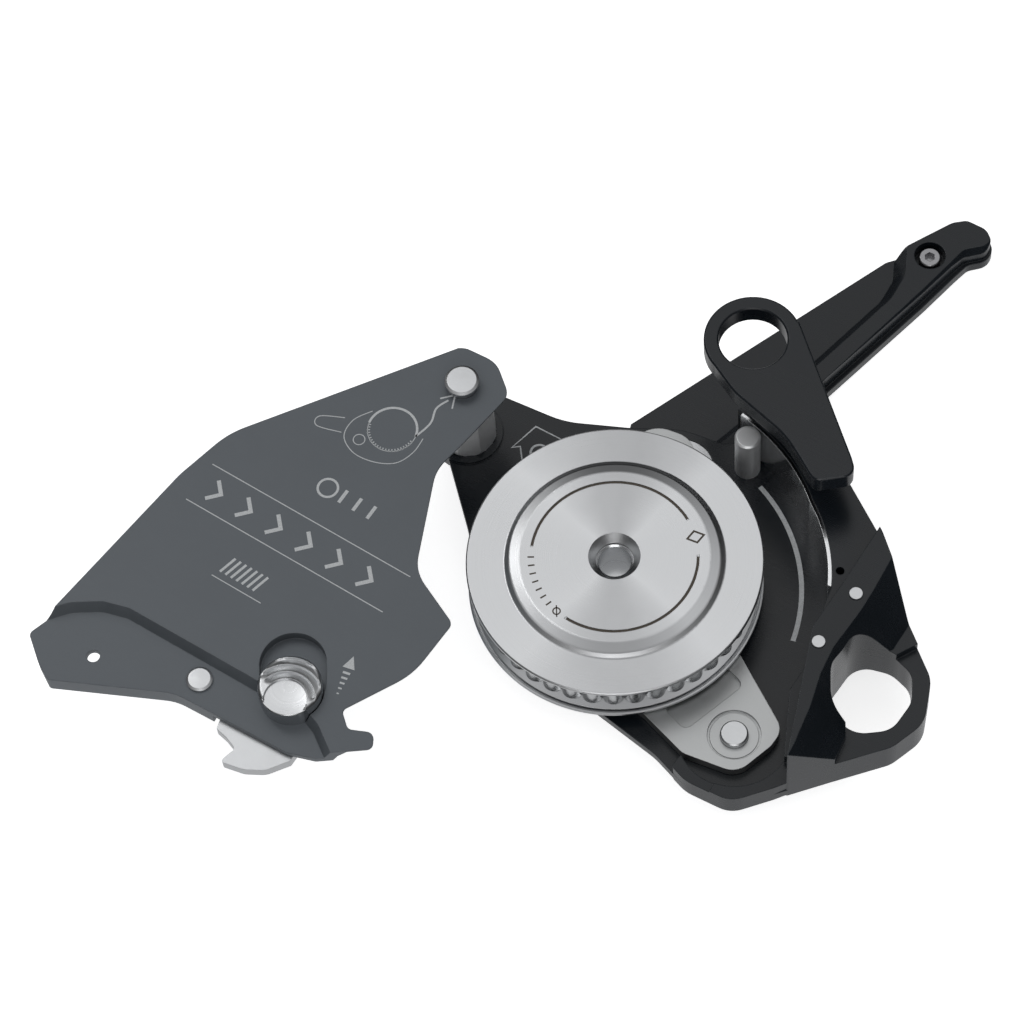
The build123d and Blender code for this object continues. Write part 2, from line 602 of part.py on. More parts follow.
def control_handle():
    web = prism(HANDLE_OUTLINE, HANDLE_Z0, WEB_Z) + disc(HANDLE_PIVOT, 25.0, HANDLE_Z0, WEB_Z)
    top = Pos(0, 0, HANDLE_Z1) * rounded(RAIL_TOP)
    rail = extrude(top, HANDLE_Z1 - WEB_Z + 0.2, dir=(0, 0, -1), taper=-32)
    rail = rail & prism(RAIL_LIMIT, HANDLE_Z0, 0)
    handle = web + rail + disc(HANDLE_PIVOT, 14.0, HANDLE_Z0, HANDLE_Z1)
    handle = handle - disc(HANDLE_PIVOT, BOLT_R, HANDLE_Z0 - 1, 0)
    handle = handle - disc(HANDLE_PIVOT, 8.0, -3.0, 0)
    handle = handle - turned([(0, HANDLE_Z0 - 1), (7.2, HANDLE_Z0 - 1), (7.2, HANDLE_Z0),
                              (BOLT_R, HANDLE_Z0 + 4.2), (0, HANDLE_Z0 + 4.2)], HANDLE_PIVOT)
    handle = handle - disc(HANDLE_SCREW, 5.0, -5.6, 0)
    return handle - disc(HANDLE_SCREW, 2.0, -10.0, 0)


def handle_screw():
    head = turned([(0, -10.0), (2.0, -10.0), (2.0, -5.6), (3.5, -5.6), (3.5, -2.0), (3.1, -1.6),
                   (0, -1.6)], HANDLE_SCREW)
    return head - extrude(Pos(HANDLE_SCREW[0], HANDLE_SCREW[1], -3.6) * RegularPolygon(1.75, 6), 5)


def handle_shaft():
    shaft = disc(HANDLE_PIVOT, 8.0, -3.0, 3.0) + disc(HANDLE_PIVOT, 10.5, 2.5, 3.9)
    shaft = shaft + disc(cam_pin_centre(), CAM_PIN_R, 3.8, CARRIER_Z1)
    return shaft - disc(HANDLE_PIVOT, BOLT_R, -5, 1.0)


def handle_bolt():
    bolt = turned([(0, HANDLE_Z0 + 0.4), (6.7, HANDLE_Z0 + 0.4), (BOLT_R, HANDLE_Z0 + 4.2),
                   (BOLT_R, 1.0), (0, 1.0)], HANDLE_PIVOT)
    return bolt - extrude(Pos(HANDLE_PIVOT[0], HANDLE_PIVOT[1], HANDLE_Z0) * RegularPolygon(2.3, 6), 3)


def thrust_washer():
    return ring(HANDLE_PIVOT, 14.0, 8.0 + RUN, HANDLE_Z1 + 0.1, 0)


save(housing(), "housing")
save(brake_insert(), "brake_insert")
save(rope_post(), "rope_post")
save(keeper_pin(KEEPERS[0]), "keeper_pin_upper")
save(keeper_pin(KEEPERS[1]), "keeper_pin_lower")
save(carrier_pivot_pin(), "carrier_pivot_pin")
save(hinge_post(), "hinge_post")
save(hinge_rivet(), "hinge_rivet")
save(thrust_washer(), "handle_thrust_washer")

save(carrier_plate(), "carrier_plate")
save(carrier_bush(), "carrier_bush")
save(sheave_axle(), "sheave_axle")
save(axle_sleeve(), "axle_sleeve")
save(clutch_hub(), "clutch_hub")
for number in range(ROLLERS):
    save(clutch_roller(number), "clutch_roller_" + str(number + 1))

save(sheave_front_flange(), "sheave_front_flange")
save(sheave_rear_flange(), "sheave_rear_flange")
save(sheave_tread(), "sheave_tread")
save(clutch_race(), "clutch_race")
save(sheave_bush(8.9, 11.6), "sheave_bush_rear")
save(sheave_bush(19.0, 20.3), "sheave_bush_front")

save(front_plate(), "front_plate")
save(latch_rivet(), "latch_rivet")
save(latch_hook(), "latch_hook")
save(thumb_button(), "thumb_button")

save(control_handle(), "control_handle")
save(handle_screw(), "handle_screw")
save(handle_shaft(), "handle_shaft")
save(handle_bolt(), "handle_bolt")
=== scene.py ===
import json
import math

import bmesh
import bpy
from mathutils import Matrix, Vector

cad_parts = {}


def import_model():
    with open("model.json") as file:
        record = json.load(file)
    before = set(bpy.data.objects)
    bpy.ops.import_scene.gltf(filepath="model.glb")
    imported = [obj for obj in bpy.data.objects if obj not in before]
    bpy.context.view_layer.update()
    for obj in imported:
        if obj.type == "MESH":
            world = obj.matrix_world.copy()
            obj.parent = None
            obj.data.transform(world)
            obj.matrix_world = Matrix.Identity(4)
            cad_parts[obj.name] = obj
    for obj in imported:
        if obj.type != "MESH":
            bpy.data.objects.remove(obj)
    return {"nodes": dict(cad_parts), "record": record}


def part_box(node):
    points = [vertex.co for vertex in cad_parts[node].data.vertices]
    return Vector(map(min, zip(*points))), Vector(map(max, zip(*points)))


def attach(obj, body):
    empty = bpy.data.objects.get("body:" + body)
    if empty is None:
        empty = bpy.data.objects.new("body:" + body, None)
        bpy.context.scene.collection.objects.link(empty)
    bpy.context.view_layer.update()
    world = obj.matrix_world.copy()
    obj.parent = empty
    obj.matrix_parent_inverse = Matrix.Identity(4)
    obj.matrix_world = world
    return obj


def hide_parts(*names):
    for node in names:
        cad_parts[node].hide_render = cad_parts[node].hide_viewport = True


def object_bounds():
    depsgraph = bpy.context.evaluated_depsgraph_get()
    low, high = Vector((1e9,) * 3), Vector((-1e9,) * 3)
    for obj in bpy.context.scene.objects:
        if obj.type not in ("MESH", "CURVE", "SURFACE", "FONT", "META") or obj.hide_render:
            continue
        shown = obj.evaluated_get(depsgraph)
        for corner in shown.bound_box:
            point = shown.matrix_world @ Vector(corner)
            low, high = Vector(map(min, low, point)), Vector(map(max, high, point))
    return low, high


# Looks for the rope clutch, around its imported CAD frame.  Lengths below are in millimetres
# and are turned into metres by MM where they reach Blender.
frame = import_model()
cad_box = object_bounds()

MM = 0.001
PRINT_T = 0.03                     # thickness of a printed or laser-marked line
PAINTED_SHADE_AT = 118                     # direction of the darker sweeps of painted shade on the turned flanges

# ---- camera
CAMERA_AZ = 34.0
CAMERA_EL = 61.969
CAMERA_ROLL = -6.100
CAMERA_AT = (185.176, -454.335, 1053.380)
LENS = 135
SENSOR = 36


# =====================================================================================
# Places read from the frame
# =====================================================================================

def box_mm(node):
    """Lowest and highest corners of a CAD node, in millimetres."""
    low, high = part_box(node)
    return Vector(low) / MM, Vector(high) / MM


def middle(node):
    low, high = box_mm(node)
    return (low + high) / 2


AXLE = middle("sheave_axle")
BUTTON = middle("thumb_button")
PLATE_TOP = box_mm("front_plate")[1].z
LOW_SKIN_TOP = PLATE_TOP - 6.0
FLOOR_TOP = 4.0
BUTTON_TOP = box_mm("thumb_button")[1].z
BUTTON_FOOT = box_mm("thumb_button")[0].z
BUTTON_R = (box_mm("thumb_button")[1].x - box_mm("thumb_button")[0].x) / 2
DOME_TOP = box_mm("sheave_front_flange")[1].z


# =====================================================================================
# Materials
# =====================================================================================

class Graph:
    """A material with a Principled shader and short calls to add nodes to it."""

    def __init__(self, name):
        self.material = bpy.data.materials.new(name)
        self.material.use_nodes = True
        self.nodes = self.material.node_tree.nodes
        self.links = self.material.node_tree.links
        self.shader = self.nodes["Principled BSDF"]
        self.place = self.add("ShaderNodeTexCoord").outputs["Object"]

    def add(self, kind, **values):
        node = self.nodes.new(kind)
        for key, value in values.items():
            setattr(node, key, value)
        return node

    def feed(self, socket, value):
        if isinstance(value, bpy.types.NodeSocket):
            self.links.new(value, socket)
        else:
            socket.default_value = value

    def math(self, operation, *inputs):
        node = self.add("ShaderNodeMath", operation=operation)
        for socket, value in zip(node.inputs, inputs):
            self.feed(socket, value)
        return node.outputs[0]

    def clamp_range(self, value, low, high, to_low=0.0, to_high=1.0):
        node = self.add("ShaderNodeMapRange")
        self.feed(node.inputs["Value"], value)
        node.inputs["From Min"].default_value = low
        node.inputs["From Max"].default_value = high
        node.inputs["To Min"].default_value = to_low
        node.inputs["To Max"].default_value = to_high
        return node.outputs["Result"]

    def mix(self, factor, first, second):
        node = self.add("ShaderNodeMix", data_type="RGBA")
        self.feed(node.inputs[0], factor)
        self.feed(node.inputs[6], first)
        self.feed(node.inputs[7], second)
        return node.outputs[2]

    def stretched(self, scale):
        node = self.add("ShaderNodeMapping")
        self.links.new(self.place, node.inputs["Vector"])
        node.inputs["Scale"].default_value = scale
        return node.outputs[0]

    def noise(self, vector, scale, detail=3.0, roughness=0.55):
        node = self.add("ShaderNodeTexNoise")
        self.feed(node.inputs["Vector"], vector)
        node.inputs["Scale"].default_value = scale
        node.inputs["Detail"].default_value = detail
        node.inputs["Roughness"].default_value = roughness
        return node.outputs["Fac"]

    def offsets(self, centre):
        """x and y in metres from an upright axis through centre, in millimetres."""
        split = self.add("ShaderNodeSeparateXYZ")
        self.links.new(self.place, split.inputs[0])
        dx = self.math("SUBTRACT", split.outputs[0], centre[0] * MM)
        dy = self.math("SUBTRACT", split.outputs[1], centre[1] * MM)
        return dx, dy

    def radius_from(self, centre):
        """Distance in metres from an upright axis through centre."""
        dx, dy = self.offsets(centre)
        return self.math("SQRT", self.math("ADD", self.math("MULTIPLY", dx, dx),
                                           self.math("MULTIPLY", dy, dy)))

    def turn_about(self, centre, zero):
        """Angle in radians about an upright axis through centre, from zero in degrees."""
        dx, dy = self.offsets(centre)
        return self.math("SUBTRACT", self.math("ARCTAN2", dy, dx), math.radians(zero))

    def turning(self, centre, scale):
        """Fine concentric marks left by a lathe."""
        line = self.add("ShaderNodeCombineXYZ")
        self.links.new(self.radius_from(centre), line.inputs[0])
        return self.noise(line.outputs[0], scale, 4.0, 0.7)

    def edge(self, width_mm):
        """1 on edges and 0 on open faces, over about width_mm."""
        bevel = self.add("ShaderNodeBevel", samples=6)
        bevel.inputs["Radius"].default_value = width_mm * MM
        face = self.add("ShaderNodeNewGeometry")
        dot = self.add("ShaderNodeVectorMath", operation="DOT_PRODUCT")
        self.links.new(bevel.outputs[0], dot.inputs[0])
        self.links.new(face.outputs["Normal"], dot.inputs[1])
        return self.clamp_range(dot.outputs["Value"], 0.995, 0.93)

    def bump(self, height, strength, distance_mm, edge_mm=0.0):
        """Surface normal with a fine relief, and with edges rounded over edge_mm."""
        node = self.add("ShaderNodeBump")
        node.inputs["Strength"].default_value = strength
        node.inputs["Distance"].default_value = distance_mm * MM
        self.feed(node.inputs["Height"], height)
        if edge_mm:
            bevel = self.add("ShaderNodeBevel", samples=6)
            bevel.inputs["Radius"].default_value = edge_mm * MM
            self.links.new(bevel.outputs[0], node.inputs["Normal"])
        return node.outputs[0]

    def radial_tangent(self):
        return self.add("ShaderNodeTangent", direction_type="RADIAL", axis="Z").outputs[0]

    def set(self, **values):
        names = {"colour": "Base Color", "metallic": "Metallic", "roughness": "Roughness",
                 "normal": "Normal", "anisotropic": "Anisotropic", "coat": "Coat Weight",
                 "coat_roughness": "Coat Roughness", "specular": "Specular IOR Level",
                 "tangent": "Tangent"}
        for key, value in values.items():
            if isinstance(value, tuple) and len(value) == 3:
                value = (*value, 1.0)
            self.feed(self.shader.inputs[names[key]], value)
        return self.material


def anodised(name, dark, light, worn_and_lit_edge, metallic, rough, specular=0.5):
    """Anodised aluminium: soft blast texture, faint blotches, edges a little brighter as rubbed
    wear and a painted highlight.
    """
    g = Graph(name)
    blotch = g.noise(g.place, 45, 4.0)
    grain = g.noise(g.place, 5200, 2.0)
    scuff = g.noise(g.stretched((40, 700, 700)), 2.2, 5.0, 0.7)
    colour = g.mix(g.clamp_range(blotch, 0.3, 0.7), (*dark, 1), (*light, 1))
    # edges lightened in patches: partly rubbed wear, partly a painted highlight where the edges
    # catch the light
    edge_wear_and_highlight = g.math("MULTIPLY", g.edge(0.35), g.clamp_range(g.noise(g.place, 260), 0.3, 0.62))
    colour = g.mix(g.math("MULTIPLY", edge_wear_and_highlight, 0.55), colour, (*worn_and_lit_edge, 1))
    spread = g.math("ADD", g.clamp_range(blotch, 0.3, 0.7, rough - 0.035, rough + 0.035),
                    g.clamp_range(scuff, 0.35, 0.7, -0.015, 0.02))
    return g.set(colour=colour, metallic=metallic, roughness=spread, specular=specular,
                 normal=g.bump(grain, 0.07, 0.02, 0.45))


def turned_steel(name, centre, base, rough, marks, sweep=0.0, painted_shade=0.0):
    """Steel turned about an upright axis: lathe marks, faint stains and two darker sweeps of
    painted shade, standing in for its brushed reflection.
    """
    g = Graph(name)
    rings = g.turning(centre, marks)
    stain = g.noise(g.place, 38, 4.0)
    dark = tuple(channel * 0.90 for channel in base)
    colour = g.mix(g.clamp_range(stain, 0.3, 0.7), (*dark, 1), (*base, 1))
    colour = g.mix(g.clamp_range(rings, 0.42, 0.66, 0.0, 0.10), colour, (0.25, 0.25, 0.26, 1))
    if painted_shade:
        # painted shade: two darker sweeps across the turned face, set in the colour where its
        # brushed reflection goes dark, broken up a little by the stains
        painted_sweep_shade = g.math("COSINE", g.math("MULTIPLY", g.turn_about(centre, PAINTED_SHADE_AT), 2.0))
        painted_sweep_shade = g.math("ADD", painted_sweep_shade, g.clamp_range(stain, 0.3, 0.7, -0.15, 0.15))
        colour = g.mix(g.clamp_range(painted_sweep_shade, 0.1, 1.0, 0.0, painted_shade), colour, (0.1, 0.1, 0.105, 1))
    spread = g.math("ADD", g.clamp_range(stain, 0.3, 0.7, rough - 0.03, rough + 0.04),
                    g.clamp_range(rings, 0.3, 0.7, -0.04, 0.05))
    return g.set(colour=colour, metallic=1.0, roughness=spread, anisotropic=sweep,
                 tangent=g.radial_tangent(), normal=g.bump(rings, 0.06, 0.012, 0.25))


def brushed_steel(name, base, rough, stretch, bump=0.12):
    """Plate steel or aluminium, brushed one way, with faint stains."""
    g = Graph(name)
    lines = g.noise(g.stretched(stretch), 1.0, 4.0, 0.65)
    stain = g.noise(g.place, 60, 4.0)
    dark = tuple(channel * 0.86 for channel in base)
    colour = g.mix(g.clamp_range(stain, 0.3, 0.7), (*dark, 1), (*base, 1))
    spread = g.math("ADD", g.clamp_range(stain, 0.3, 0.7, rough - 0.03, rough + 0.05),
                    g.clamp_range(lines, 0.3, 0.7, -0.05, 0.06))
    return g.set(colour=colour, metallic=1.0, roughness=spread,
                 normal=g.bump(lines, bump, 0.02, 0.25))


def blasted(name, base, rough, metallic=1.0):
    """Plain bead-blasted aluminium or bronze with a fine even grain and a painted highlight on
    its edges.
    """
    g = Graph(name)
    grain = g.noise(g.place, 4200, 3.0)
    stain = g.noise(g.place, 70, 5.0)
    dark = tuple(channel * 0.84 for channel in base)
    colour = g.mix(g.clamp_range(stain, 0.3, 0.7), (*dark, 1), (*base, 1))
    # painted highlight: edges lightened towards pale grey, as if catching the light
    colour = g.mix(g.math("MULTIPLY", g.edge(0.3), 0.35), colour, (0.8, 0.8, 0.8, 1))
    spread = g.clamp_range(stain, 0.3, 0.7, rough - 0.04, rough + 0.05)
    return g.set(colour=colour, metallic=metallic, roughness=spread,
                 normal=g.bump(grain, 0.2, 0.02, 0.3))


def ink(name, colour, rough, metallic=0.0):
    """Laser-marked line: slightly uneven tone and a rough surface."""
    g = Graph(name)
    speck = g.noise(g.place, 2600, 3.0)
    dark = tuple(channel * 0.72 for channel in colour)
    tone = g.mix(g.clamp_range(speck, 0.3, 0.7), (*dark, 1), (*colour, 1))
    return g.set(colour=tone, metallic=metallic, roughness=rough,
                 normal=g.bump(speck, 0.2, 0.01))


BLACK = anodised("black_anodised", (0.0055, 0.0078, 0.0105), (0.0078, 0.0105, 0.0140),
                 (0.07, 0.078, 0.086), 0.0, 0.27, 0.38)
GUNMETAL = anodised("gunmetal_anodised", (0.098, 0.110, 0.122), (0.110, 0.123, 0.136),
                    (0.22, 0.23, 0.24), 0.30, 0.44)
# the flanges carry painted shade: two darker sweeps at strength 0.42
FLANGE = turned_steel("turned_flange", AXLE, (0.70, 0.71, 0.72), 0.30, 5200, 0.75, 0.42)
TREAD = turned_steel("cast_tread", AXLE, (0.62, 0.63, 0.64), 0.22, 2200)
AXLE_STEEL = turned_steel("turned_axle", AXLE, (0.60, 0.61, 0.62), 0.24, 4800)
BRUSHED = brushed_steel("brushed_stainless", (0.62, 0.63, 0.64), 0.32, (300, 4000, 4000))
BUTTON_STEEL = turned_steel("turned_button", BUTTON, (0.66, 0.67, 0.68), 0.28, 1100)
POLISHED = brushed_steel("polished_steel", (0.74, 0.75, 0.76), 0.14, (2000, 2000, 200), 0.05)
CARRIER = blasted("blasted_aluminium", (0.50, 0.51, 0.51), 0.38)
BRONZE = blasted("bearing_bronze", (0.55, 0.40, 0.22), 0.35)
POST_STEEL = blasted("satin_post_steel", (0.84, 0.85, 0.86), 0.40, 0.72)
SCREW = brushed_steel("screw_steel", (0.34, 0.34, 0.35), 0.28, (1800, 1800, 1800), 0.2)
INK = ink("light_marking", (0.62, 0.64, 0.65), 0.55)
BURN = ink("brown_laser_marking", (0.085, 0.070, 0.055), 0.45, 0.5)

SLOT_LOOKS = {"black_anodised": BLACK, "gunmetal": GUNMETAL, "stainless": BRUSHED,
              "carrier_grey": CARRIER, "bright_steel": POLISHED, "bronze": BRONZE,
              "screw_steel": SCREW}

NODE_LOOKS = {"sheave_front_flange": FLANGE, "sheave_rear_flange": FLANGE,
              "sheave_tread": TREAD, "sheave_axle": AXLE_STEEL, "axle_sleeve": AXLE_STEEL,
              "rope_post": POST_STEEL, "hinge_post": POST_STEEL}


def node_slots():
    """Material slot of each CAD node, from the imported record."""
    return {row["node"]: row["material_slot"] for row in frame["record"]["subparts"]}


SLOTS = node_slots()


def look_of(node):
    return NODE_LOOKS.get(node, SLOT_LOOKS[SLOTS[node]])


def paint_cad():
    for node, thing in frame["nodes"].items():
        thing.data.materials.clear()
        thing.data.materials.append(look_of(node))


# =====================================================================================
# Mesh helpers
# =====================================================================================

def piece(name, bm, material, body):
    """New object from a bmesh built in millimetres."""
    bmesh.ops.scale(bm, vec=(MM, MM, MM), verts=bm.verts)
    bmesh.ops.recalc_face_normals(bm, faces=bm.faces)
    mesh = bpy.data.meshes.new(name)
    bm.to_mesh(mesh)
    bm.free()
    mesh.materials.append(material)
    thing = bpy.data.objects.new(name, mesh)
    bpy.context.scene.collection.objects.link(thing)
    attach(thing, body)
    return thing


def smooth_by_angle(mesh):
    for polygon in mesh.polygons:
        polygon.use_smooth = True
    mesh.set_sharp_from_angle(angle=math.radians(35))


def arc(centre, radius, start, end, count=24):
    """Points along an arc, angles in degrees."""
    points = []
    for i in range(count + 1):
        angle = math.radians(start + (end - start) * i / count)
        points.append((centre[0] + radius * math.cos(angle),
                       centre[1] + radius * math.sin(angle)))
    return points


def flowing(points, steps=8):
    """Smooth curve through points."""
    padded = [points[0]] + list(points) + [points[-1]]
    found = []
    for i in range(len(points) - 1):
        a, b, c, d = (Vector(padded[i + k]) for k in range(4))
        for step in range(steps):
            t = step / steps
            found.append(0.5 * ((2 * b) + (c - a) * t + (2 * a - 5 * b + 4 * c - d) * t * t
                                + (3 * b - a - 3 * c + d) * t ** 3))
    found.append(Vector(points[-1]))
    return [(p.x, p.y) for p in found]


def ribbon(bm, points, width, z, closed=False):
    """Thin solid line of constant width lying on the plane z."""
    count = len(points)
    rows = []
    for i in range(count):
        here = Vector(points[i])
        ahead = Vector(points[(i + 1) % count]) if closed or i < count - 1 else None
        back = Vector(points[i - 1]) if closed or i > 0 else None
        out = (ahead - here).normalized() if ahead is not None else None
        into = (here - back).normalized() if back is not None else None
        out = out if out is not None else into
        into = into if into is not None else out
        side = (out + into)
        side = side.normalized() if side.length > 1e-6 else out
        reach = width / 2 / max(0.5, side.dot(out))
        normal = Vector((-side.y, side.x)) * reach
        rows.append([bm.verts.new((p.x, p.y, h)) for p, h in (
            (here - normal, z - PRINT_T / 3), (here + normal, z - PRINT_T / 3),
            (here + normal, z + PRINT_T), (here - normal, z + PRINT_T))])
    spans = count if closed else count - 1
    for i in range(spans):
        first, second = rows[i], rows[(i + 1) % count]
        for k in range(4):
            bm.faces.new((first[k], first[(k + 1) % 4], second[(k + 1) % 4], second[k]))
    if not closed:
        bm.faces.new(rows[0])
        bm.faces.new(rows[-1][::-1])


def patch(bm, points, z):
    """Thin filled shape lying on the plane z."""
    low = [bm.verts.new((x, y, z - PRINT_T / 3)) for x, y in points]
    high = [bm.verts.new((x, y, z + PRINT_T)) for x, y in points]
    bm.faces.new(low[::-1])
    bm.faces.new(high)
    for i in range(len(points)):
        k = (i + 1) % len(points)
        bm.faces.new((low[i], low[k], high[k], high[i]))


def placed(points, origin, degrees, scale=1.0):
    """Points drawn about (0, 0), turned and moved to origin."""
    angle = math.radians(degrees)
    c, s = math.cos(angle) * scale, math.sin(angle) * scale
    return [(origin[0] + x * c - y * s, origin[1] + x * s + y * c) for x, y in points]


# =====================================================================================
# Thumb button
# =====================================================================================

GRIP = (1.2, -4.6)                 # centre of the thumb dish, from the button centre
DISH_R = 6.5
DISH_DEEP = 1.25
DISH_RISE = 0.35                   # how much the dish floor rises to its edge
LOUVRE = 2.3                       # pitch of the grip ridges
LOUVRE_DEEP = 1.0
STEEP = 0.1                        # share of the pitch taken by the steep side of a ridge
RIDGE_ENDS = (18, 168)             # directions, in degrees, where the ridges run out
RIDGE_FADE = 14
RIM_FROM = 8.5                     # radius where the rounded rim begins
RIM_WIDE = 1.2
RIM_DROP = 1.3
STEM_R = 2.5
STEM_TURN = -5                     # degrees from the button centre about the latch pivot
STEM_SIDES = 36
BUTTON_SIDES = 144


def ridge_depth(away):
    """Saw-tooth from 0 to 1, with a short steep side, by distance from the grip centre."""
    along = ((away - DISH_R) / LOUVRE) % 1.0
    return along / (1 - STEEP) if along < 1 - STEEP else (1 - along) / STEEP


def button_height(x, y):
    """Height of the top at (x, y) from the centre: dish, grip ridges and rounded rim."""
    away = math.hypot(x - GRIP[0], y - GRIP[1])
    angle = math.degrees(math.atan2(y - GRIP[1], x - GRIP[0]))
    rim = max(0.0, math.hypot(x, y) - RIM_FROM) / RIM_WIDE
    top = BUTTON_TOP - RIM_DROP * rim * rim
    if away < DISH_R - 0.01:
        return min(top, BUTTON_TOP - DISH_DEEP + DISH_RISE * (away / DISH_R) ** 2)
    begin = min(1.0, max(0.0, (angle - RIDGE_ENDS[0]) / RIDGE_FADE))
    end = min(1.0, max(0.0, (RIDGE_ENDS[1] - angle) / RIDGE_FADE))
    return top - LOUVRE_DEEP * ridge_depth(away) * begin * end * max(0.0, 1 - rim)


def reach_to(way, radius):
    """Distance from the grip centre to the circle of this radius about the button centre."""
    along = GRIP[0] * way[0] + GRIP[1] * way[1]
    return -along + math.sqrt(along * along + radius * radius - GRIP[0] ** 2 - GRIP[1] ** 2)


def grip_rings():
    """Distances from the grip centre of the rings of the top, closest at the ridge edges."""
    reaches = [DISH_R * (i + 1) / 8 for i in range(7)] + [DISH_R - 0.15]
    for i in range(5):
        start = DISH_R + i * LOUVRE
        reaches += [start + LOUVRE * (1 - STEEP) * k / 5 for k in range(6)]
    return reaches


def button_ring(bm, way_reach, height=None):
    """Ring of vertices about the grip centre; way_reach gives the distance in a direction."""
    row = []
    for k in range(BUTTON_SIDES):
        angle = 2 * math.pi * k / BUTTON_SIDES
        way = (math.cos(angle), math.sin(angle))
        away = way_reach(way)
        x, y = GRIP[0] + way[0] * away, GRIP[1] + way[1] * away
        z = button_height(x, y) if height is None else height
        row.append(bm.verts.new((BUTTON.x + x, BUTTON.y + y, z)))
    return row


def add_stem(bm, top):
    """Pin below the button, which rides in the slot of the front plate."""
    pivot = middle("latch_rivet")
    turn = Matrix.Rotation(math.radians(STEM_TURN), 2)
    centre = turn @ Vector((BUTTON.x - pivot.x, BUTTON.y - pivot.y)) + pivot.xy
    last = 360 - 360 / STEM_SIDES
    outline = arc(centre, STEM_R, 0, last, STEM_SIDES - 1)
    lower = [bm.verts.new((x, y, BUTTON_FOOT)) for x, y in outline]
    upper = [bm.verts.new((x, y, top)) for x, y in outline]
    bm.faces.new(lower)
    bm.faces.new(upper[::-1])
    for k in range(STEM_SIDES):
        nxt = (k + 1) % STEM_SIDES
        bm.faces.new((lower[k], lower[nxt], upper[nxt], upper[k]))


def thumb_button():
    """Button with a dished lower half and curved saw-tooth ridges above it, on its stem."""
    bm = bmesh.new()
    base = LOW_SKIN_TOP + 0.2
    rows = [button_ring(bm, lambda way, reach=reach: min(reach, reach_to(way, RIM_FROM)))
            for reach in grip_rings()]
    for i in range(1, 6):
        rim = RIM_FROM + (BUTTON_R - RIM_FROM) * i / 5
        rows.append(button_ring(bm, lambda way, rim=rim: reach_to(way, rim)))
    rows.append(button_ring(bm, lambda way: reach_to(way, BUTTON_R), base + 0.8))
    rows.append(button_ring(bm, lambda way: reach_to(way, BUTTON_R - 0.8), base))
    crown = bm.verts.new((BUTTON.x + GRIP[0], BUTTON.y + GRIP[1], button_height(*GRIP)))
    for k in range(BUTTON_SIDES):
        nxt = (k + 1) % BUTTON_SIDES
        bm.faces.new((crown, rows[0][k], rows[0][nxt]))
        for low, high in zip(rows, rows[1:]):
            bm.faces.new((low[k], high[k], high[nxt], low[nxt]))
    bm.faces.new(rows[-1])
    bmesh.ops.remove_doubles(bm, verts=bm.verts, dist=0.004)
    add_stem(bm, base + 0.3)
    thing = piece("thumb_button_detailed", bm, BUTTON_STEEL, "latch")
    smooth_by_angle(thing.data)
    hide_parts("thumb_button")


# =====================================================================================
# Printed marks
# =====================================================================================

RULES = (((-207.5, -31.4), (-135.0, -37.4)), ((-208.5, -45.4), (-136.5, -51.4)))
CHEVRONS = 6
ENGRAVED_R = 25.2                  # engraved ring of the sheave dome
ENGRAVED_DEEP = 0.3
ENGRAVED_ARCS = ((57, 199), (263, 387))
TICKS = 7
TICK_FROM = 208
TICK_STEP = 6.4


def plate_marks():
    """Generic marks on the front plate: two rules, chevrons, a ticked disc, a hatched flag and
    an arrow.
    """
    bm = bmesh.new()
    upper = RULES[0]
    for rule in RULES:
        ribbon(bm, rule, 0.32, PLATE_TOP)
    slope = math.degrees(math.atan2(upper[1][1] - upper[0][1], upper[1][0] - upper[0][0]))
    for i in range(CHEVRONS):
        t = 0.09 + i * 0.152
        at = (upper[0][0] + (upper[1][0] - upper[0][0]) * t - 0.5,
              upper[0][1] + (upper[1][1] - upper[0][1]) * t - 7.2)
        chevron = [(-1.7, 3.6), (1.7, 0), (-1.7, -3.6)]
        ribbon(bm, placed(chevron, at, slope), 1.25, PLATE_TOP)
    # small ticked disc above the rules, and a hatched flag below them
    disc_at = (-172.0, -22.5)
    ribbon(bm, arc(disc_at, 3.1, 0, 352, 30)[:-1], 0.75, PLATE_TOP, closed=True)
    for i in range(3):
        bar = [(5.6 + i * 5.2, -2.4), (5.6 + i * 5.2, 2.4)]
        ribbon(bm, placed(bar, disc_at, slope), 1.1, PLATE_TOP)
    flag_at = (-180.0, -59.5)
    for i in range(7):
        stripe = [(-6.5 + i * 2.0, -3.0), (-5.0 + i * 2.0, 3.0)]
        ribbon(bm, placed(stripe, flag_at, slope), 0.8, PLATE_TOP)
    ribbon(bm, placed([(-8, -5.2), (10, -5.2)], flag_at, slope), 0.3, PLATE_TOP)
    # push arrow beside the thumb button, made of shortening dashes
    tip = (-136.6, -70.6)
    patch(bm, placed([(0, 2.6), (-1.9, -1.6), (1.9, -1.6)], tip, 8), PLATE_TOP)
    for i in range(5):
        half = 1.15 - i * 0.2
        y = -3.2 - i * 1.75
        ribbon(bm, placed([(-half, y), (half, y)], tip, 8), 0.75 - i * 0.08, PLATE_TOP)
    piece("plate_marks", bm, INK, "front_plate")


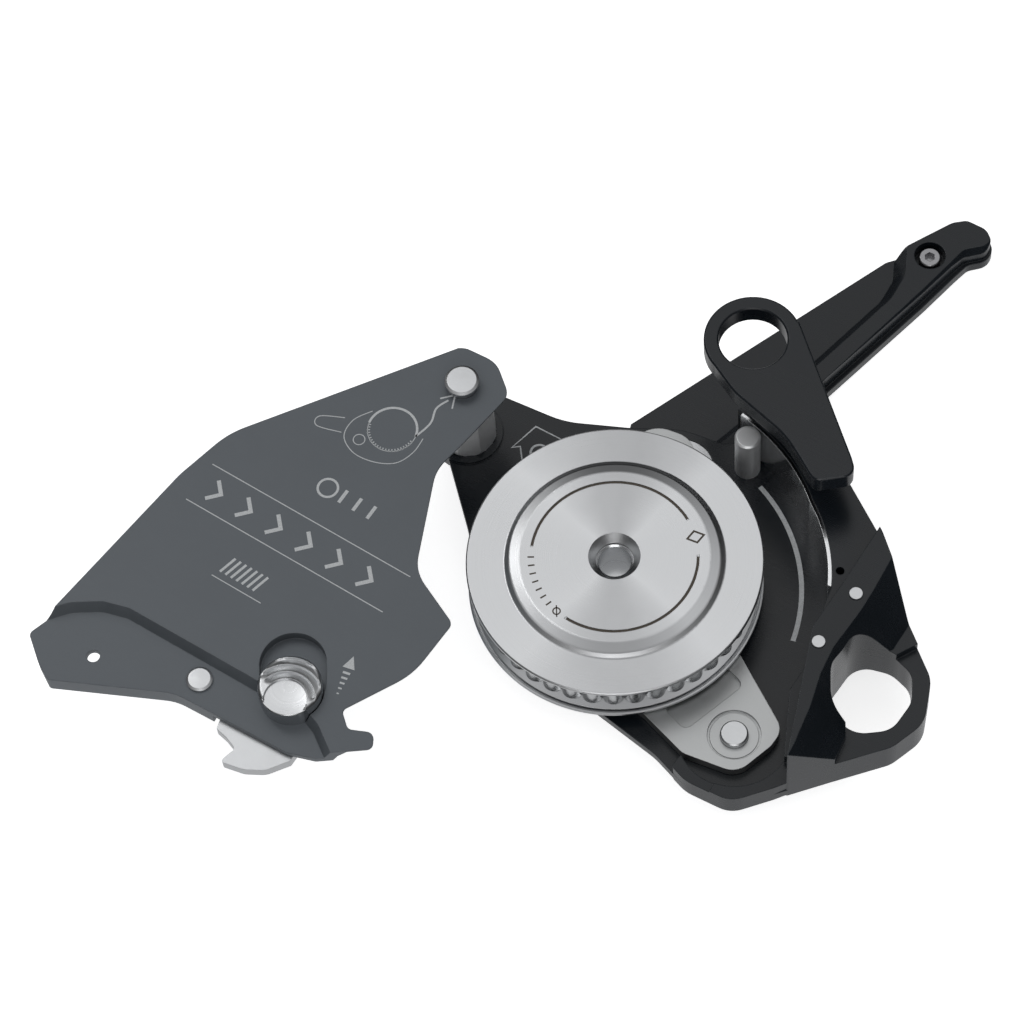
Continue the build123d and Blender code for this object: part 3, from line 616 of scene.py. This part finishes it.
def threading_diagram():
    """Outline drawing of a rope round a toothed wheel, in a simple device outline."""
    bm = bmesh.new()
    at = (-164.5, 4.0)
    turn = -12
    wheel = 7.6
    ribbon(bm, placed(arc((0, 0), wheel, 20, 200, 30), at, turn), 0.75, PLATE_TOP)
    ribbon(bm, placed(arc((0, 0), wheel, 200, 380, 30), at, turn), 0.25, PLATE_TOP)
    for i in range(22):
        angle = math.radians(204 + i * 7.6)
        tooth = [(math.cos(angle) * (wheel - 0.8), math.sin(angle) * (wheel - 0.8)),
                 (math.cos(angle) * (wheel + 0.2), math.sin(angle) * (wheel + 0.2))]
        ribbon(bm, placed(tooth, at, turn), 0.3, PLATE_TOP)
    outline = flowing([(-9.0, 1.0), (-11.5, -5.0), (-10.0, -11.0), (-4.0, -13.5), (3.0, -12.0),
                       (8.5, -8.0), (10.2, -2.0), (9.4, 3.5)])
    ribbon(bm, placed(outline, at, turn), 0.28, PLATE_TOP)
    ribbon(bm, placed(arc((-5.6, -9.0), 1.8, 0, 352, 22)[:-1], at, turn), 0.28, PLATE_TOP,
           closed=True)
    lever = flowing([(-14.0, -6.0), (-20.5, -10.5), (-19.0, -13.5), (-11.5, -10.5)])
    ribbon(bm, placed(lever, at, turn), 0.28, PLATE_TOP)
    rope = flowing([(7.1, 2.6), (7.6, 9.0), (5.6, 14.0), (6.6, 18.5)])
    ribbon(bm, placed(rope, at, turn), 0.62, PLATE_TOP)
    head = [(4.2, 17.4), (7.0, 21.2), (9.4, 17.0)]
    ribbon(bm, placed(head, at, turn), 0.5, PLATE_TOP)
    piece("threading_diagram", bm, INK, "front_plate")


def floor_marks():
    """Rope-path line and load arrow on the floor of the housing."""
    bm = bmesh.new()
    path = arc((AXLE.x, AXLE.y), 56.5, 66, 9, 60)
    ribbon(bm, path, 1.5, FLOOR_TOP)
    arrow = [(-7.5, -5.5), (-7.5, 1.0), (-11.0, 1.0), (0, 9.5), (11.0, 1.0), (7.5, 1.0),
             (7.5, -5.5)]
    ribbon(bm, placed(arrow, (-131.0, 33.0), 35, 0.75), 0.45, FLOOR_TOP)
    loop = arc((0, -3.0), 3.6, 200, -20, 20)
    ribbon(bm, placed(loop, (-131.0, 33.0), 35, 0.75), 0.7, FLOOR_TOP)
    piece("floor_marks", bm, INK, "housing")


def dome_marks():
    """Generic marks in the gaps of the engraved ring: a crossed circle, ticks, a diamond."""
    bm = bmesh.new()
    axle = (AXLE.x, AXLE.y)
    for start, end in ENGRAVED_ARCS:
        ribbon(bm, arc(axle, ENGRAVED_R, start, end, 72), 0.8, DOME_TOP - ENGRAVED_DEEP)
    for i in range(TICKS):
        angle = TICK_FROM + i * TICK_STEP
        foot = arc(axle, ENGRAVED_R - 1.0, angle, angle, 1)[0]
        head = arc(axle, ENGRAVED_R + 1.0, angle, angle, 1)[0]
        ribbon(bm, [foot, head], 0.5, DOME_TOP)
    circle_at = arc(axle, ENGRAVED_R, 254.5, 254.5, 1)[0]
    ribbon(bm, arc(circle_at, 1.1, 0, 345, 22)[:-1], 0.42, DOME_TOP, closed=True)
    ribbon(bm, placed([(-1.4, -1.4), (1.4, 1.4)], circle_at, 75), 0.38, DOME_TOP)
    diamond_at = arc(axle, ENGRAVED_R, 42, 42, 1)[0]
    diamond = [(-2.6, 0), (0, 2.0), (2.6, 0), (0, -2.0)]
    ribbon(bm, placed(diamond, diamond_at, 42), 0.6, DOME_TOP, closed=True)
    piece("dome_marks", bm, BURN, "sheave")


# =====================================================================================
# Stage
# =====================================================================================

def stage():
    """Pale floor that glows a little, and does not show in the polished steel."""
    low = cad_box[0]
    bpy.ops.mesh.primitive_plane_add(size=12, location=(-0.1, 0, low[2] - 0.0002))
    floor = bpy.context.object
    floor.name = "floor"
    g = Graph("pale_floor")
    cloud = g.noise(g.place, 1.2, 3.0)
    colour = g.mix(cloud, (0.86, 0.86, 0.86, 1), (0.88, 0.88, 0.88, 1))
    g.shader.inputs["Emission Color"].default_value = (1, 1, 1, 1)
    g.shader.inputs["Emission Strength"].default_value = 0.75
    floor.data.materials.append(g.set(colour=colour, roughness=0.9, specular=0.1))
    floor.visible_glossy = False


def area_light(name, at, look_at, size, power):
    data = bpy.data.lights.new(name, "AREA")
    data.shape = "RECTANGLE"
    data.size, data.size_y = size
    data.energy = power
    lamp = bpy.data.objects.new(name, data)
    lamp.location = at
    aim = Vector(look_at) - Vector(at)
    lamp.rotation_euler = aim.to_track_quat("-Z", "Y").to_euler()
    bpy.context.scene.collection.objects.link(lamp)


def world():
    """Bright overhead and straight down, dark round the horizon."""
    surroundings = bpy.data.worlds.new("studio")
    surroundings.use_nodes = True
    nodes, links = surroundings.node_tree.nodes, surroundings.node_tree.links
    place = nodes.new("ShaderNodeTexCoord")
    split = nodes.new("ShaderNodeSeparateXYZ")
    lift = nodes.new("ShaderNodeMapRange")
    lift.inputs["From Min"].default_value = -1.0
    ramp = nodes.new("ShaderNodeValToRGB")
    links.new(place.outputs["Generated"], split.inputs[0])
    links.new(split.outputs[2], lift.inputs["Value"])
    links.new(lift.outputs["Result"], ramp.inputs[0])
    stops = ((0.0, 0.75), (0.12, 0.60), (0.36, 0.03), (0.60, 0.03), (0.74, 0.22), (0.88, 0.62),
             (1.0, 0.75))
    elements = ramp.color_ramp.elements
    while len(elements) < len(stops):
        elements.new(0.5)
    for element, (at, level) in zip(elements, stops):
        element.position = at
        element.color = (level, level * 1.005, level * 1.015, 1)
    links.new(ramp.outputs[0], nodes["Background"].inputs[0])
    nodes["Background"].inputs[1].default_value = 1.0
    bpy.context.scene.world = surroundings


def lights():
    centre = (-0.09, 0.0, 0.02)
    area_light("overhead", (-0.35, 0.5, 1.3), centre, (1.0, 0.8), 0.9)
    area_light("front_softbox", (0.45, -1.0, 0.62), centre, (0.9, 0.4), 2.6)
    area_light("left_strip", (-1.1, 0.25, 0.95), centre, (0.25, 1.1), 2.2)


def camera():
    az, el, roll = (math.radians(v) for v in (CAMERA_AZ, CAMERA_EL, CAMERA_ROLL))
    back = Vector((math.sin(az) * math.cos(el), -math.cos(az) * math.cos(el), math.sin(el)))
    level = Vector((0, 0, 1)).cross(back).normalized()
    upward = back.cross(level)
    right = level * math.cos(roll) + upward * math.sin(roll)
    up = upward * math.cos(roll) - level * math.sin(roll)
    data = bpy.data.cameras.new("camera")
    data.lens = LENS
    data.sensor_width = SENSOR
    data.clip_end = 20
    eye = bpy.data.objects.new("camera", data)
    turn = Matrix((right, up, back)).transposed().to_4x4()
    eye.matrix_world = Matrix.Translation(Vector(CAMERA_AT) * MM) @ turn
    bpy.context.scene.collection.objects.link(eye)
    bpy.context.scene.camera = eye


# =====================================================================================
# Assembly
# =====================================================================================

paint_cad()
thumb_button()
plate_marks()
threading_diagram()
floor_marks()
dome_marks()
stage()
world()
lights()
camera()
bpy.context.scene.view_settings.view_transform = "Standard"
